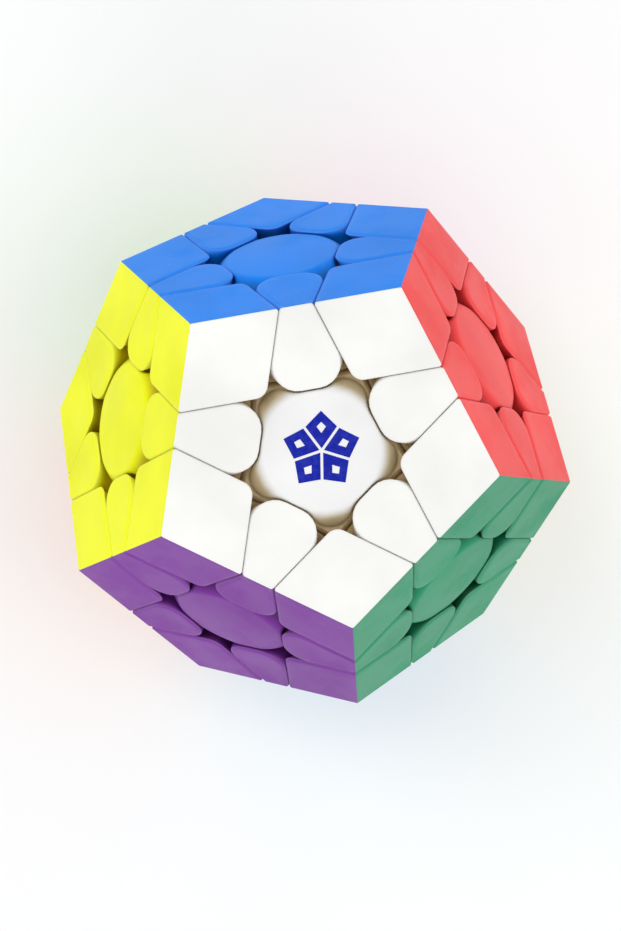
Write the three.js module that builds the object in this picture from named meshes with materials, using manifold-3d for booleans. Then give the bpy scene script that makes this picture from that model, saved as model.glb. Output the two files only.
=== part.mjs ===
// Dodecahedron twisty puzzle with one cut under each of its twelve faces.
// Sixty-two outer pieces (30 edges, 20 corners, 12 centres) ride on a twelve-armed core.
// Every turning layer is parted from the rest by one surface of revolution about its face's axis:
// a flat cut outside, a cone round the necks of the pieces, then a wider cone round their feet.
// Each centre's flange overhangs the feet of its edges, and each edge overhangs the feet of its
// corners, so the screws in the core hold the whole puzzle together.
// Millimetres, +Z up, origin under the middle of the grey face that it stands on.
import * as THREE from "three";
import { ConvexGeometry } from "three/addons/geometries/ConvexGeometry.js";
import { mergeVertices } from "three/addons/utils/BufferGeometryUtils.js";
import Module from "manifold-3d";

const wasm = await Module();
wasm.setup();

// Driving dimensions.
const RIDGE_LENGTH = 31; // one edge of the dodecahedron
const LAYER_DEPTH = 11.1; // a turning layer, from its face to the flat cut under it
const RUNNING_GAP = 0.3; // between any two pieces that slide past each other
const NECK_ANGLE = 42; // half-angle of the cone round a layer's necks, degrees
const FOOT_ANGLE = 48; // half-angle of the cone round a layer's feet, degrees
const NECK_HEIGHT = 4; // from the flat cut's inner rim down to the ledge over the feet
const FOOT_HEIGHT = 6.3; // from that ledge down to the underside of the feet

const CORNER_TIP_RADIUS = 1.9; // rounding of a corner piece's inner tip
const EDGE_TIP_RADIUS = 3.6; // rounding of an edge piece's inner corners
const HUB_TIP_RADIUS = 1.2; // rounding of a hub's corners
const TIP_DEPTH = 7; // how far down those roundings run

const CAP_DEPTH = 3.4; // cap and the face over it, from the face to the hub's top
const CAP_RECESS = 0.2; // middle of a cap below its face
const CAP_SIDE_DROP = 0.5; // how far the cap's dome has fallen at its flats
const CAP_LOBE_DROP = 2.6; // how far it has fallen at the ends of its five lobes
const CAP_WALL = 1.4; // wall of the cap's dome
const CAP_PLUG_RADIUS = 6; // outside of the ring that snaps into the hub
const CAP_PLUG_WALL = 1;
const CAP_PLUG_LENGTH = 2.2;

const HUB_RADIUS = 13; // a hub's flange before its neighbours cut into it
const HUB_FLOOR = 2.2; // floor that the spring presses on
const CUP_RADIUS = 4.3; // well for the spring and the screw's head

const CORE_RADIUS = 12; // ball in the middle
const ARM_RADIUS = 4.4; // the core's twelve arms
const SCREW_RADIUS = 1.5;
const SCREW_REACH = 9; // thread inside the core's arm
const SCREW_HEAD_RADIUS = 3;
const SCREW_HEAD_HEIGHT = 1.8;
const SCREW_SLOT_WIDTH = 0.8;
const SCREW_SLOT_DEPTH = 0.9;
const HEAD_BELOW_HUB_TOP = 1; // top of the screw's head below the hub's top
const SPRING_RADIUS = 2.7; // to the middle of its wire
const WIRE_RADIUS = 0.35;
const SPRING_TURNS = 4;
const COIL_STEPS = 9; // facets in one turn of the spring

const LINK_WIDTH = 2.4; // hidden link between the pieces of a block

const ROUND_SIDES = 30; // facets round a cut
const SMALL_SIDES = 12; // facets round arms and screws
const TIP_STEPS = 3; // facets round a rounded tip
const FINEST = 0.01; // smaller slivers than this are merged away

// Dodecahedron.
const GOLDEN = (1 + Math.sqrt(5)) / 2;
const INRADIUS = (RIDGE_LENGTH * GOLDEN ** 2) / (2 * Math.sqrt(3 - GOLDEN));
const CIRCUMRADIUS = (RIDGE_LENGTH * GOLDEN * Math.sqrt(3)) / 2;
const AXIS_SPREAD = Math.acos(1 / Math.sqrt(5)); // between the axes of two faces that share a ridge
const EDGE_TILT = AXIS_SPREAD / 2; // from the middle of a ridge to its faces' axes
const CORNER_TILT = Math.acos(INRADIUS / CIRCUMRADIUS); // from a vertex to its faces' axes
const radians = THREE.MathUtils.degToRad;

const half = RUNNING_GAP / 2;
const cutHeight = INRADIUS - LAYER_DEPTH; // the flat cuts, from the middle of the puzzle
const neckAngle = radians(NECK_ANGLE);
const footAngle = radians(FOOT_ANGLE);
const neckTop = cutHeight / Math.cos(neckAngle); // distances from the middle, from here down
const ledge = neckTop - NECK_HEIGHT;
const footBottom = ledge - FOOT_HEIGHT;
const armTop = footBottom - RUNNING_GAP;
const hubTop = INRADIUS - CAP_DEPTH;
const capTop = INRADIUS - CAP_RECESS;
const far = 2 * CIRCUMRADIUS;

const UP = new THREE.Vector3(0, 0, 1);
const ringAxis = (azimuth, height) => {
  const turn = radians(azimuth);
  const across = Math.sin(AXIS_SPREAD);
  const along = Math.cos(AXIS_SPREAD) * height;
  return new THREE.Vector3(Math.cos(turn) * across, Math.sin(turn) * across, along);
};
// White is on top and grey at the bottom; each pair of opposite faces has a dark and a light colour.
const FACES = [
  { name: "white", axis: UP.clone(), colour: 0xf4f3ee },
  { name: "blue", axis: ringAxis(90, 1), colour: 0x1668d8 },
  { name: "red", axis: ringAxis(18, 1), colour: 0xf0444a },
  { name: "green", axis: ringAxis(-54, 1), colour: 0x2f9463 },
  { name: "purple", axis: ringAxis(-126, 1), colour: 0x7d3c9c },
  { name: "yellow", axis: ringAxis(162, 1), colour: 0xf2f20a },
  { name: "light_blue", axis: ringAxis(-90, -1), colour: 0x7cc4ec },
  { name: "cream", axis: ringAxis(-18, -1), colour: 0xf2e3a6 },
  { name: "pink", axis: ringAxis(54, -1), colour: 0xf49ac0 },
  { name: "lime", axis: ringAxis(126, -1), colour: 0x8fd43c },
  { name: "orange", axis: ringAxis(198, -1), colour: 0xf68a1e },
  { name: "grey", axis: UP.clone().negate(), colour: 0x9a9c9e },
];
// Three faces of which no two share a piece: these layers turn on their own.
const TURNING = ["blue", "green", "grey"];
// Among the pieces that keep still, these corners are each one part with their three edges.
const BLOCKS = [
  "white_purple_yellow",
  "purple_light_blue_orange",
  "yellow_lime_orange",
  "red_cream_pink",
];

const touching = (a, b) => Math.abs(a.axis.angleTo(b.axis) - AXIS_SPREAD) < 0.01;
const neighbours = (...group) =>
  FACES.filter((f) => !group.includes(f) && group.every((g) => touching(f, g)));
const pairsIn = (group) =>
  group.flatMap((p, i) => group.slice(i + 1).filter((q) => touching(p, q)).map((q) => [p, q]));

// Solids.
function solid(geometry) {
  const bare = geometry.index ? geometry.toNonIndexed() : geometry.clone();
  bare.deleteAttribute("normal");
  bare.deleteAttribute("uv");
  const merged = mergeVertices(bare, 1e-4);
  return new wasm.Manifold(
    new wasm.Mesh({
      numProp: 3,
      vertProperties: new Float32Array(merged.attributes.position.array),
      triVerts: new Uint32Array(merged.index.array),
    }),
  );
}

function geometryOf(manifold) {
  const mesh = manifold.asOriginal().simplify(FINEST).getMesh();
  const geometry = new THREE.BufferGeometry();
  geometry.setAttribute("position", new THREE.BufferAttribute(mesh.vertProperties, 3));
  geometry.setIndex(new THREE.BufferAttribute(mesh.triVerts, 1));
  const flat = geometry.toNonIndexed();
  flat.computeVertexNormals();
  return flat;
}

const hull = (points) => solid(new ConvexGeometry(points));
const joined = (parts) => parts.reduce((whole, part) => whole.add(part));
const cutFrom = (whole, tools) => tools.reduce((rest, tool) => rest.subtract(tool), whole);

// A solid of revolution about +Z from [radius, height] pairs that start and end on the axis and
// run upwards outside.
function revolved(profile, sides) {
  const points = profile.map(([radius, height]) => new THREE.Vector2(radius, height));
  return solid(new THREE.LatheGeometry(points, sides).rotateX(Math.PI / 2));
}

const cylinder = (radius, low, high, sides = SMALL_SIDES) =>
  revolved([[0, low], [radius, low], [radius, high], [0, high]], sides);

// The turn that carries +Z to one direction, with +X as near as it can be to another.
function facing(direction, towards) {
  const z = direction.clone().normalize();
  const y = new THREE.Vector3().crossVectors(z, towards).normalize();
  const x = new THREE.Vector3().crossVectors(y, z);
  return new THREE.Matrix4().makeBasis(x, y, z);
}
const turnedTo = (part, direction, towards) => part.transform(facing(direction, towards).elements);

// The point where three planes meet, each given by its unit normal and its distance.
function meetingPoint(planes) {
  const rows = planes.flatMap(([normal]) => normal.toArray());
  const inverse = new THREE.Matrix3().set(...rows).invert();
  return new THREE.Vector3(...planes.map(([, distance]) => distance)).applyMatrix3(inverse);
}

// The cut under one face.
// The room that one layer sweeps, grown by half the gap, about +Z.
function sweptRoom() {
  const onCone = (angle, distance, grow) => [
    distance * Math.sin(angle) + grow * Math.cos(angle),
    distance * Math.cos(angle) - grow * Math.sin(angle),
  ];
  const low = onCone(footAngle, footBottom / 2, half);
  const cutRim = (cutHeight - half) * Math.tan(neckAngle) + half / Math.cos(neckAngle);
  const round = revolved(
    [
      [0, low[1]],
      low,
      onCone(footAngle, ledge + half, half),
      onCone(neckAngle, ledge + half, half),
      [cutRim, cutHeight - half],
      [far, cutHeight - half],
      [far, far],
      [0, far],
    ],
    ROUND_SIDES,
  );
  const facetsOnCircle = 1 / Math.cos(Math.PI / ROUND_SIDES);
  return round.scale([facetsOnCircle, facetsOnCircle, 1]);
}
const room = sweptRoom();
const roomOf = (face) => {
  const isUpright = Math.abs(face.axis.z) > 0.9;
  return turnedTo(room, face.axis, isUpright ? new THREE.Vector3(1, 0, 0) : UP);
};

// How far a point may stand out from its piece's own direction, on the side away from a face's
// axis, and stay inside the cone about that axis. Half the gap is kept.
function reachInCone(height, sideways, tilt, coneAngle) {
  const s = Math.sin(tilt);
  const c = Math.cos(tilt);
  const k = Math.cos(coneAngle) ** 2;
  const a = s * s - k;
  const b = -2 * height * s * c;
  const rest = height ** 2 * c * c - k * (sideways ** 2 + height ** 2);
  const root = Math.sqrt(b * b - 4 * a * rest);
  const outs = [(-b + root) / (2 * a), (-b - root) / (2 * a)].filter((x) => x > 0);
  return Math.min(...outs) - half / Math.cos(coneAngle - tilt) - half;
}

// Takes the sharp inner corner off a piece where the cuts of two faces cross, seen on a third
// face. A side is 1 where the piece is inside that face's layer and -1 where it is outside.
function tipTool(seenOn, first, firstSide, second, secondSide, radius) {
  const along = new THREE.Vector3().crossVectors(first.axis, second.axis).normalize();
  if (along.dot(seenOn.axis) < 0) along.negate();
  const top = meetingPoint([[seenOn.axis, INRADIUS], [first.axis, cutHeight], [second.axis, cutHeight]]);
  const x = first.axis;
  const y = new THREE.Vector3().crossVectors(along, x);
  const inPlane = (v) => new THREE.Vector2(v.dot(x), v.dot(y));
  const n1 = inPlane(first.axis).multiplyScalar(firstSide);
  const n2 = inPlane(second.axis).multiplyScalar(secondSide);
  const reach = (radius + half) / (1 + n1.dot(n2));
  const centre = n1.clone().add(n2).multiplyScalar(reach);
  const start = n1.clone().negate().angle();
  let sweep = n2.clone().negate().angle() - start;
  if (sweep > Math.PI) sweep -= 2 * Math.PI;
  if (sweep < -Math.PI) sweep += 2 * Math.PI;
  const arc = [];
  for (let step = 0; step <= TIP_STEPS; step++) {
    const angle = start + (sweep * step) / TIP_STEPS;
    arc.push(new THREE.Vector2(Math.cos(angle), Math.sin(angle)).multiplyScalar(radius).add(centre));
  }
  const outside = [
    arc[TIP_STEPS].clone().addScaledVector(n2, -1),
    centre.clone().multiplyScalar(-2 / centre.length()),
    arc[0].clone().addScaledVector(n1, -1),
  ];
  const shape = new THREE.Shape([...arc, ...outside]);
  const prism = new THREE.ExtrudeGeometry(shape, { depth: 2 * TIP_DEPTH, bevelEnabled: false, steps: 1 });
  const frame = new THREE.Matrix4().makeBasis(x, y, along);
  return solid(prism.translate(0, 0, -TIP_DEPTH).applyMatrix4(frame.setPosition(top)));
}

// Edge and corner pieces.
// A block between its own faces and their cuts, with a neck and a foot that reach inwards.
function cornerSolid(faces) {
  const [a, b, c] = faces;
  const outward = new THREE.Vector3().add(a.axis).add(b.axis).add(c.axis).normalize();
  const levels = [INRADIUS, cutHeight + half];
  const block = [];
  for (const da of levels)
    for (const db of levels)
      for (const dc of levels) block.push(meetingPoint([[a.axis, da], [b.axis, db], [c.axis, dc]]));
  // A six-sided section with one long side away from each axis.
  const section = (height, coneAngle) => {
    const flat = 0.8 * (reachInCone(height, 0, CORNER_TILT, coneAngle) - half);
    return faces.flatMap((face) => {
      const frame = facing(outward, face.axis.clone().negate());
      const out = reachInCone(height, flat, CORNER_TILT, coneAngle);
      return [-flat, flat].map((y) => new THREE.Vector3(out, y, height).applyMatrix4(frame));
    });
  };
  const foot = [...section(footBottom + half, footAngle), ...section(footTop(CORNER_TILT), footAngle)];
  const neck = [...section(footTop(CORNER_TILT) - 1, neckAngle), ...section(neckTop, neckAngle)];
  const tips = faces.map((face) => {
    const [p, q] = faces.filter((f) => f !== face);
    return tipTool(face, p, 1, q, 1, CORNER_TIP_RADIUS);
  });
  return joined([cutFrom(hull(block), tips), hull(neck), hull(foot)]);
}

// The height of a foot's flat top, whose corners stay under the round ledge.
function footTop(tilt) {
  const out = ledge * Math.tan(footAngle - tilt);
  return Math.sqrt((ledge - half) ** 2 - (1.25 * out) ** 2) - half;
}

function edgeSolid(faces) {
  const [a, b] = faces;
  const sides = neighbours(a, b);
  const outward = a.axis.clone().add(b.axis).normalize();
  const sideTilt = outward.angleTo(sides[0].axis);
  const block = [];
  for (const da of [INRADIUS, cutHeight + half])
    for (const db of [INRADIUS, cutHeight + half])
      for (const side of sides)
        block.push(meetingPoint([[a.axis, da], [b.axis, db], [side.axis, cutHeight - half]]));
  const frame = facing(outward, a.axis);
  const section = (height, coneAngle) => {
    const long = height * Math.tan(sideTilt - coneAngle) + 1;
    const wide = reachInCone(height, long, EDGE_TILT, coneAngle);
    return [-wide, wide].flatMap((x) =>
      [-long, long].map((y) => new THREE.Vector3(x, y, height).applyMatrix4(frame)),
    );
  };
  const foot = [...section(footBottom + half, footAngle), ...section(footTop(EDGE_TILT), footAngle)];
  const neck = [...section(footTop(EDGE_TILT) - 1, neckAngle), ...section(neckTop - 1, neckAngle)];
  const tips = sides.flatMap((side) => [
    tipTool(a, b, 1, side, -1, EDGE_TIP_RADIUS),
    tipTool(b, a, 1, side, -1, EDGE_TIP_RADIUS),
  ]);
  const outer = cutFrom(hull(block), tips);
  return cutFrom(joined([outer, hull(neck), hull(foot)]), sides.map(roomOf));
}

// Centres.
// A hub turns on its screw; its flange overhangs the feet of five edges. White's hub, about +Z.
const white = FACES[0];
const whiteSides = neighbours(white);
const whiteRooms = whiteSides.map(roomOf);
const centreTips = pairsIn(whiteSides).map(([p, q]) =>
  tipTool(white, p, -1, q, -1, HUB_TIP_RADIUS),
);

// A centre's flats at its face, from the axis: the neighbours' cuts less half the gap.
const capFlat = (cutHeight - half - INRADIUS * Math.cos(AXIS_SPREAD)) / Math.sin(AXIS_SPREAD);
const clear = RUNNING_GAP / Math.sin(AXIS_SPREAD); // the gap as it shows on a face
// A cap's lobes end short of the corners' rounded tips, whose sides meet at 108 degrees.
const tipBack = CORNER_TIP_RADIUS * (1 / Math.sin(0.3 * Math.PI) - 1);
const capReach = (capFlat + clear) / Math.cos(Math.PI / 5) + tipBack - RUNNING_GAP;
const headTop = hubTop - HEAD_BELOW_HUB_TOP;
const headBottom = headTop - SCREW_HEAD_HEIGHT;
const floorTop = footBottom + HUB_FLOOR;

function hubOutside(low) {
  const blank = cylinder(HUB_RADIUS, low, hubTop, ROUND_SIDES);
  return cutFrom(blank, [...whiteRooms, ...centreTips]);
}

// A hub that is one with its arm has no bore for a screw.
function hubSolid(hasBore) {
  const well = cylinder(CUP_RADIUS, floorTop, far);
  const mouthRadius = CAP_PLUG_RADIUS + RUNNING_GAP;
  const mouth = cylinder(mouthRadius, hubTop - CAP_PLUG_LENGTH - RUNNING_GAP, far, 2 * SMALL_SIDES);
  const bore = cylinder(SCREW_RADIUS + RUNNING_GAP, 0, far);
  return cutFrom(hubOutside(footBottom), hasBore ? [well, mouth, bore] : [well, mouth]);
}

// The plan of the edge piece on one side of a cap, grown by the gap. A cap keeps out of it, so that
// it lifts out straight.
function edgeShadow(side) {
  const turn = (2 * Math.PI) / 5;
  const along = capFlat + clear + EDGE_TIP_RADIUS;
  const across = (capFlat - EDGE_TIP_RADIUS - along * Math.cos(turn)) / Math.sin(turn);
  const radius = EDGE_TIP_RADIUS + clear;
  const points = [];
  for (const hand of [-1, 1]) {
    const outline = [[2 * along, across + radius]];
    for (let step = 0; step <= TIP_STEPS; step++) {
      const angle = (Math.PI / 2) * (1 + step / TIP_STEPS);
      outline.push([along + radius * Math.cos(angle), across + radius * Math.sin(angle)]);
    }
    for (const [x, y] of outline)
      for (const z of [0, far]) points.push(new THREE.Vector3(x, hand * y, z));
  }
  const azimuth = Math.atan2(side.axis.y, side.axis.x);
  return solid(new ConvexGeometry(points).rotateZ(azimuth));
}

// A cap's blank: a dome whose five lobes slope down between the edges, to the tips of the corners.
function capOutside(low) {
  const profile = [
    [0, low],
    [capReach, low],
    [capReach, capTop - CAP_LOBE_DROP],
    [(capFlat + capReach) / 2, capTop - 0.6 * CAP_SIDE_DROP - 0.4 * CAP_LOBE_DROP],
    [capFlat, capTop - CAP_SIDE_DROP],
    [0.6 * capFlat, capTop - 0.25 * CAP_SIDE_DROP],
    [0, capTop],
  ];
  return cutFrom(revolved(profile, ROUND_SIDES), [...whiteSides.map(edgeShadow), ...whiteRooms]);
}

function capSolid() {
  const low = hubTop + RUNNING_GAP;
  const plugLow = hubTop - CAP_PLUG_LENGTH;
  const ceiling = capTop - CAP_SIDE_DROP - CAP_WALL;
  const hollow = cylinder(capFlat - CAP_WALL, low - 1, ceiling);
  const ring = cylinder(CAP_PLUG_RADIUS, plugLow, ceiling + CAP_WALL / 2, 2 * SMALL_SIDES);
  const ringBore = cylinder(CAP_PLUG_RADIUS - CAP_PLUG_WALL, plugLow - 1, ceiling);
  return capOutside(low).subtract(hollow).add(ring.subtract(ringBore));
}

// A screw with a cross slot in its head.
function screwSolid() {
  const shank = cylinder(SCREW_RADIUS, armTop - SCREW_REACH, headBottom + 0.5);
  const head = cylinder(SCREW_HEAD_RADIUS, headBottom, headTop);
  const slots = [0, 1].map((turn) => {
    const long = turn ? SCREW_SLOT_WIDTH : 1.4 * SCREW_HEAD_RADIUS;
    const wide = turn ? 1.4 * SCREW_HEAD_RADIUS : SCREW_SLOT_WIDTH;
    return solid(new THREE.BoxGeometry(long, wide, 2 * SCREW_SLOT_DEPTH).translate(0, 0, headTop));
  });
  return joined([shank, cutFrom(head, slots)]);
}

// The coil that holds a hub down, between two closed end turns.
function springSolid() {
  const low = floorTop + half + WIRE_RADIUS;
  const rise = headBottom - half - WIRE_RADIUS - low;
  const steps = COIL_STEPS * SPRING_TURNS;
  const helix = Array.from({ length: steps + 1 }, (_, i) => {
    const turn = (2 * Math.PI * i) / COIL_STEPS;
    const height = low + rise * THREE.MathUtils.smoothstep(i / steps, 0, 1);
    return new THREE.Vector3(SPRING_RADIUS * Math.cos(turn), SPRING_RADIUS * Math.sin(turn), height);
  });
  const wire = new THREE.Shape().absarc(0, 0, WIRE_RADIUS, 0, 2 * Math.PI);
  const extrudePath = new THREE.CatmullRomCurve3(helix);
  const coil = { extrudePath, steps, curveSegments: 5, bevelEnabled: false };
  return solid(new THREE.ExtrudeGeometry(wire, coil));
}

// Core.
// Ball and arms. On the nine faces that keep still, the hub is one with its arm.
function coreSolid() {
  const ball = solid(new THREE.IcosahedronGeometry(CORE_RADIUS, 2));
  const threadHole = cylinder(SCREW_RADIUS + half, armTop - SCREW_REACH - RUNNING_GAP, far);
  const armWithHub = joined([cylinder(ARM_RADIUS, 0, footBottom + HUB_FLOOR), hubSolid(false)]);
  const arm = cylinder(ARM_RADIUS, 0, armTop);
  const arms = FACES.map((face) => placedLike(turns(face) ? arm : armWithHub, face));
  const holes = FACES.filter(turns).map((face) => placedLike(threadHole, face));
  return cutFrom(joined([ball, ...arms]), holes);
}

// Placing.
// The turn that carries white's axis to a face's, and blue's to a neighbour of that face.
const pose = (main, beside) => facing(main.axis, beside.axis);
const whitePose = pose(white, whiteSides[0]);
const carried = (main, beside) => pose(main, beside).multiply(whitePose.clone().invert());
const placedLike = (part, face) => part.transform(carried(face, neighbours(face)[0]).elements);
const turns = (face) => TURNING.includes(face.name);

const puzzle = new THREE.Group();
puzzle.name = "dodecahedron_puzzle";
puzzle.position.z = INRADIUS;

const plastic = Object.fromEntries(
  FACES.map((face) => [
    face.name,
    new THREE.MeshStandardMaterial({ color: face.colour, roughness: 0.45, metalness: 0 }),
  ]),
);
const basePlastic = new THREE.MeshStandardMaterial({ color: 0xd8d5cc, roughness: 0.6, metalness: 0 });
const steel = new THREE.MeshStandardMaterial({ color: 0xb8bcc0, roughness: 0.3, metalness: 1 });
const springSteel = new THREE.MeshStandardMaterial({ color: 0x8f9399, roughness: 0.35, metalness: 1 });

function place(name, geometry, material, matrix) {
  const mesh = new THREE.Mesh(geometry, material);
  mesh.name = name;
  if (matrix) mesh.applyMatrix4(matrix);
  puzzle.add(mesh);
}

// Piece names list their faces in the order of FACES.
const pairs = pairsIn(FACES);
const triples = pairs.flatMap(([a, b]) =>
  neighbours(a, b).filter((c) => FACES.indexOf(c) > FACES.indexOf(b)).map((c) => [a, b, c]),
);

const titled = (...faces) => faces.map((face) => face.name).join("_");
const handed = ([a, b, c]) => new THREE.Vector3().crossVectors(a.axis, b.axis).dot(c.axis) > 0;
const cornerFaces = [white, whiteSides[0], neighbours(white, whiteSides[0])[0]];
const edgeBlank = edgeSolid(cornerFaces.slice(0, 2));
const cornerBlank = cornerSolid(cornerFaces);

// A corner with its three edges, linked at their necks.
function blockSolid() {
  const middle = (faces) => faces.reduce((sum, f) => sum.add(f.axis), new THREE.Vector3()).normalize();
  const height = (ledge + neckTop) / 2;
  const parts = cornerFaces.flatMap((face) => {
    const [a, b] = cornerFaces.filter((f) => f !== face);
    const ends = [middle(cornerFaces), middle([a, b])].map((v) => v.multiplyScalar(height));
    const link = new THREE.BoxGeometry(ends[0].distanceTo(ends[1]), LINK_WIDTH, LINK_WIDTH);
    const along = ends[1].clone().sub(ends[0]);
    const frame = new THREE.Matrix4().makeBasis(
      along.clone().normalize(),
      new THREE.Vector3().crossVectors(ends[0], along).normalize(),
      ends[0].clone().addScaledVector(along, -ends[0].dot(along) / along.lengthSq()).normalize(),
    );
    const centre = ends[0].clone().add(ends[1]).multiplyScalar(0.5);
    link.applyMatrix4(frame.setPosition(centre));
    return [edgeBlank.transform(carried(a, b).elements), solid(link)];
  });
  return joined([cornerBlank, ...parts]);
}

const edgeGeometry = geometryOf(edgeBlank);
const cornerGeometry = geometryOf(cornerBlank);
const blockGeometry = geometryOf(blockSolid());
const cornerPose = ([a, b, c]) => carried(a, handed([a, b, c]) === handed(cornerFaces) ? b : c);
const blocks = triples.filter((faces) => BLOCKS.includes(titled(...faces)));
for (const faces of triples) {
  const isBlock = blocks.includes(faces);
  const kind = isBlock ? "corner_block" : "corner";
  const geometry = isBlock ? blockGeometry : cornerGeometry;
  place(`${kind}_${titled(...faces)}`, geometry, plastic[faces[0].name], cornerPose(faces));
}
for (const [a, b] of pairs) {
  if (blocks.some((faces) => faces.includes(a) && faces.includes(b))) continue;
  place(`edge_${titled(a, b)}`, edgeGeometry, plastic[a.name], carried(a, b));
}

const capGeometry = geometryOf(capSolid());
const turningSets = [
  ["hub", geometryOf(hubSolid(true)), basePlastic],
  ["tension_screw", geometryOf(screwSolid()), steel],
  ["tension_spring", geometryOf(springSolid()), springSteel],
];
for (const face of FACES) {
  const matrix = carried(face, neighbours(face)[0]);
  place(`cap_${face.name}`, capGeometry, plastic[face.name], matrix);
  if (!turns(face)) continue;
  for (const [kind, geometry, material] of turningSets)
    place(`${kind}_${face.name}`, geometry, material, matrix);
}
place("core_with_fixed_hubs", geometryOf(coreSolid()), basePlastic);

export default puzzle;
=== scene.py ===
import math

import bpy
import numpy as np
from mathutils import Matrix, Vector


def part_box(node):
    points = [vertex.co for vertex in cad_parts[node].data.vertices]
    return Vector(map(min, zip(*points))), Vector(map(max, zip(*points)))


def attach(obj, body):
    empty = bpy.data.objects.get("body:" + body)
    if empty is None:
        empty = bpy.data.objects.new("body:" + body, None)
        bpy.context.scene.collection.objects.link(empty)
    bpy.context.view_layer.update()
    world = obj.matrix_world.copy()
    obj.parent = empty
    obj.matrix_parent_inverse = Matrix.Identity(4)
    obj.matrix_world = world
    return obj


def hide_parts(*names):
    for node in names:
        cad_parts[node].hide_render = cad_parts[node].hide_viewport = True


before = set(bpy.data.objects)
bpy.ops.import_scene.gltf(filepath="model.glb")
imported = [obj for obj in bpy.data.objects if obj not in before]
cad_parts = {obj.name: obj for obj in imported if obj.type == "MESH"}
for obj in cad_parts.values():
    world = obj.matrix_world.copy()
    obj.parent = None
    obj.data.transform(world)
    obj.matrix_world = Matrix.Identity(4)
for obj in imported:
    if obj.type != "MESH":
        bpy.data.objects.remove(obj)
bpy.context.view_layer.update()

# All sizes are in metres. The puzzle stands on its grey face, with its middle on the Z axis.

puzzle = {
    "layerDepth": 0.0111,    # a turning layer, from its face to the flat cut under it
    "gap": 0.0003,           # between pieces that slide past each other
    "neckAngle": 42.0,       # cone round a layer's necks, degrees
    "footAngle": 48.0,       # cone round a layer's feet, degrees
    "neckHeight": 0.004,
    "footHeight": 0.0063,
    "capDepth": 0.0034,      # from a face down to the hub under its cap
}

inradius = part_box("edge_white_blue")[1][2] / 2  # half the height from grey face to white face
cutHeight = inradius - puzzle["layerDepth"]
half = puzzle["gap"] / 2
neckAngle = math.radians(puzzle["neckAngle"])
footAngle = math.radians(puzzle["footAngle"])
neckTop = cutHeight / math.cos(neckAngle)
ledge = neckTop - puzzle["neckHeight"]
footBottom = ledge - puzzle["footHeight"]
armTop = footBottom - puzzle["gap"]
hubTop = inradius - puzzle["capDepth"]
centre = np.array([0.0, 0.0, inradius])
spread = math.acos(1 / math.sqrt(5))  # between the axes of faces that share a ridge


def circled(radius, azimuth, height):
    # points (radius cos azimuth, radius sin azimuth, height) from values or arrays
    flat = radius * np.cos(azimuth), radius * np.sin(azimuth)
    return np.stack(np.broadcast_arrays(*flat, height), -1)


def ringAxis(azimuth, height=1):
    # the axis of a face on the upper ring, or on the lower one (height -1), at so many degrees
    return circled(math.sin(spread), math.radians(azimuth), math.cos(spread) * height)


faces = {
    "white": np.array([0.0, 0.0, 1.0]),
    "blue": ringAxis(90),
    "red": ringAxis(18),
    "green": ringAxis(-54),
    "purple": ringAxis(-126),
    "yellow": ringAxis(162),
    "light_blue": ringAxis(-90, -1),
    "cream": ringAxis(-18, -1),
    "pink": ringAxis(54, -1),
    "lime": ringAxis(126, -1),
    "orange": ringAxis(198, -1),
    "grey": np.array([0.0, 0.0, -1.0]),
}
faceNames = list(faces)


def touching(a, b):
    return abs(math.acos(np.clip(faces[a] @ faces[b], -1, 1)) - spread) < 0.01


def neighbours(*group):
    # the faces that share a ridge with every face of the group
    return [f for f in faceNames if f not in group and all(touching(f, g) for g in group)]


pairs = [(a, b) for i, a in enumerate(faceNames) for b in faceNames[i + 1:] if touching(a, b)]
triples = [
    (a, b, c) for a, b in pairs for c in neighbours(a, b)
    if faceNames.index(c) > faceNames.index(b)]


class Wire:
    # wraps a socket, so that an expression on wires adds its Math nodes
    def __init__(self, tree, socket):
        self.tree = tree
        self.socket = socket

    def math(self, operation, a, b):
        return self.tree.node("ShaderNodeMath", {"operation": operation}, {0: a, 1: b})

    def __add__(self, other):
        return self.math("ADD", self, other)

    __radd__ = __add__

    def __sub__(self, other):
        return self.math("SUBTRACT", self, other)

    def __rsub__(self, other):
        return self.math("SUBTRACT", other, self)

    def __mul__(self, other):
        return self.math("MULTIPLY", self, other)

    __rmul__ = __mul__

    def clamp(self, low=0.0, high=1.0):
        return self.math("MINIMUM", self.math("MAXIMUM", self, low), high)

    def smooth(self, low, high):
        # 0 below low, 1 above high, smooth between
        values = {"Value": self, "From Min": low, "From Max": high, "To Min": 0.0, "To Max": 1.0}
        return self.tree.node("ShaderNodeMapRange", {"interpolation_type": "SMOOTHSTEP"}, values)


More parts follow.
